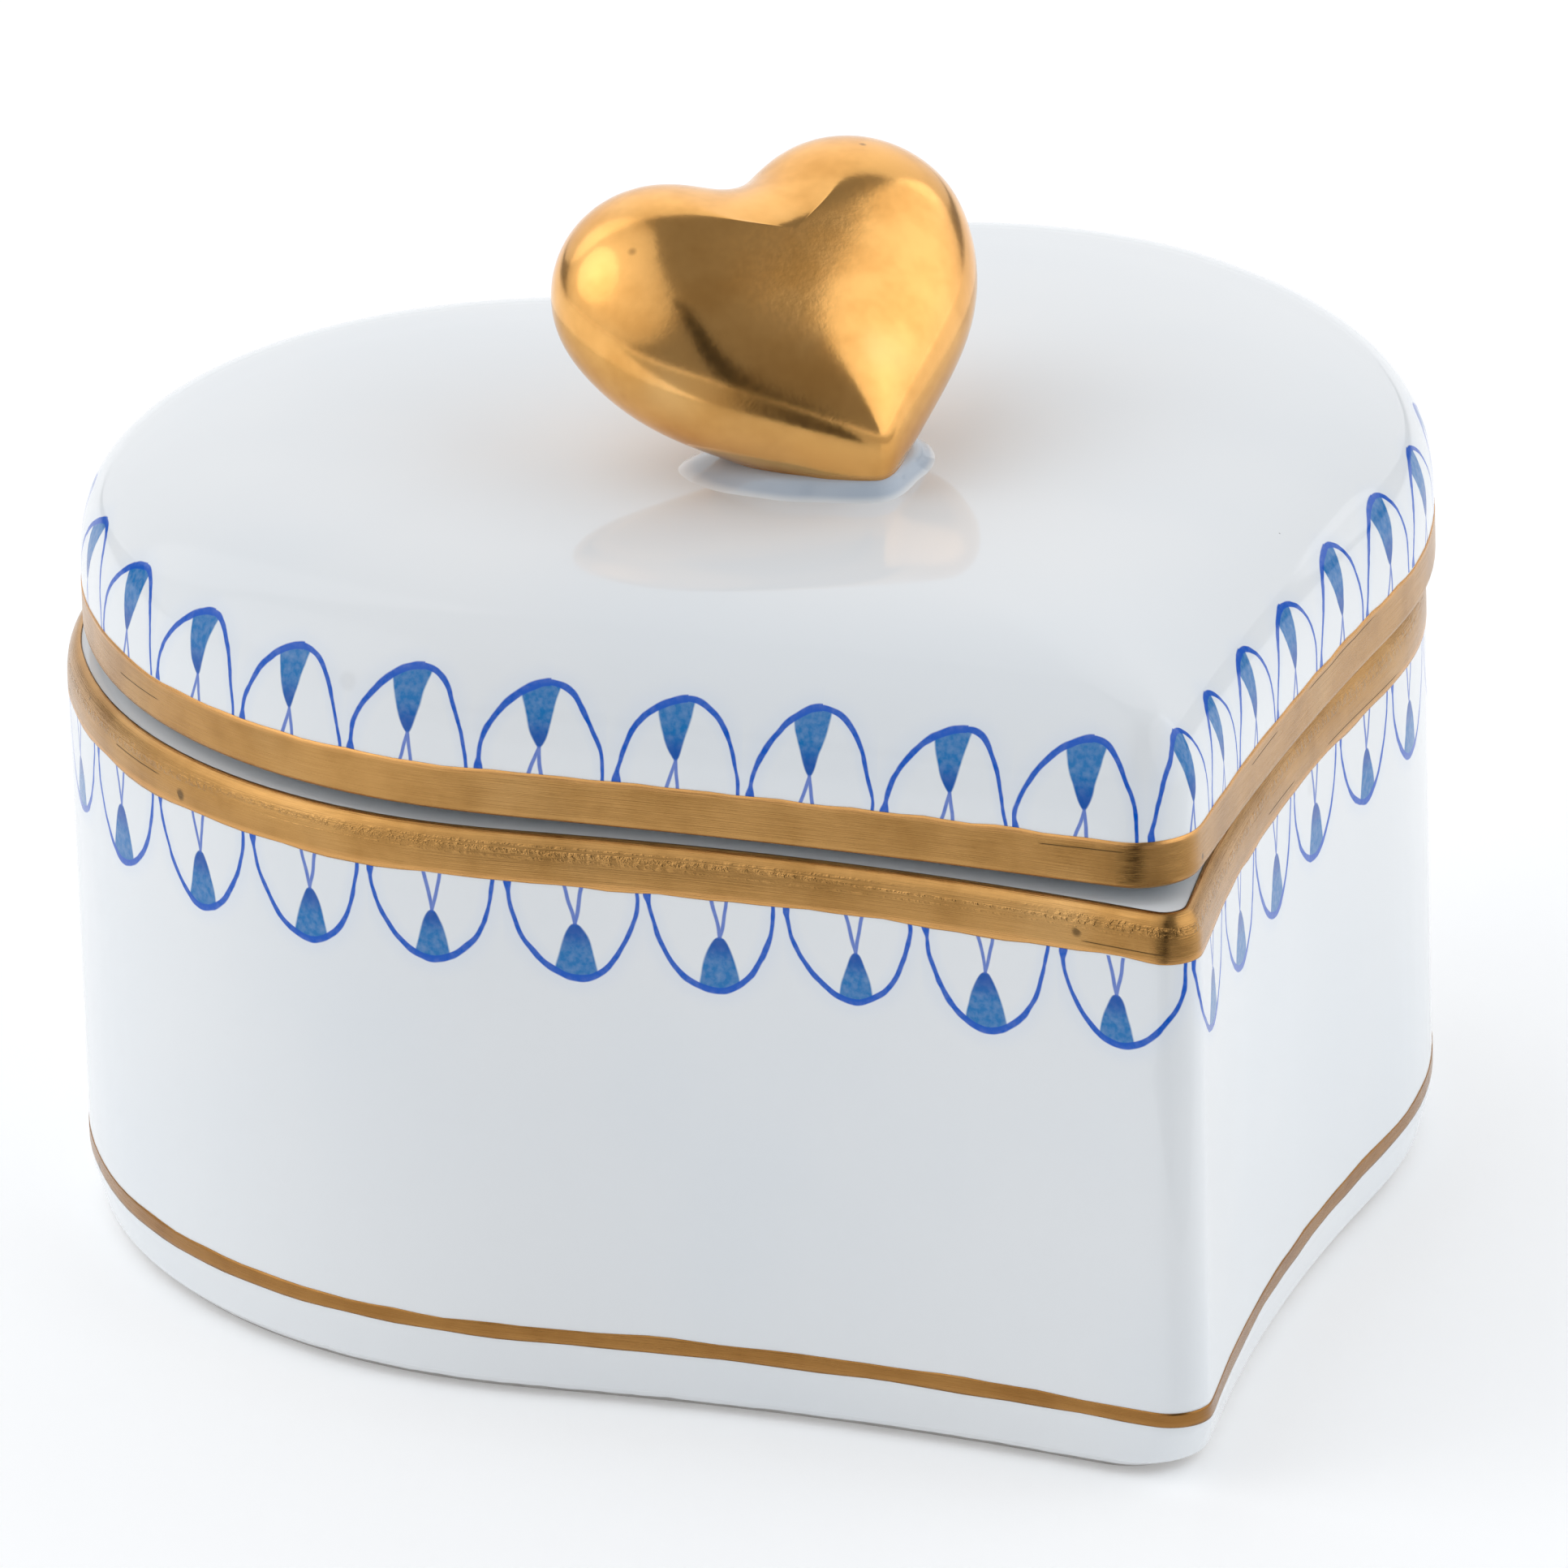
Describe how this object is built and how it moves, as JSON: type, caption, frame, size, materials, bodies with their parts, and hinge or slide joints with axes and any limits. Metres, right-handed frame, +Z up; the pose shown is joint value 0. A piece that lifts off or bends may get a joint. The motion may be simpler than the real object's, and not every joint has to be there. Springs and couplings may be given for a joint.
{
  "type": "trinket box",
  "caption": "Heart-shaped porcelain trinket box with a loose domed lid, a puffed heart knob, gilded rims and painted scallop borders.",
  "frame": {"origin": "middle of the bowl's footprint, on the surface that the box stands on", "axes": "+Z up; +Y from the heart's tip, at the front, to the cleft between its lobes, at the back; +X to the right seen from the tip"},
  "size_m": [0.0763, 0.0802, 0.0607],
  "materials": {
    "porcelain": "clear gloss glaze on white porcelain, painted in cobalt blue under the rims",
    "gilding": "fired and burnished gold on glazed porcelain",
    "foot_gilding": "fired gold line, satin"
  },
  "bodies": {
    "base": {"bowl": "porcelain", "bowl_rim_gilding": "gilding", "foot_line_gilding": "foot_gilding"},
    "cover": {"lid": "porcelain", "lid_rim_gilding": "gilding", "knob_seat": "porcelain", "heart_knob": "gilding"}
  },
  "joints": [
    {"name": "lid_lift", "type": "slide", "parent": "base", "child": "cover", "axis": [0, 0, 1], "range_m": [0, 0.07]}
  ]
}
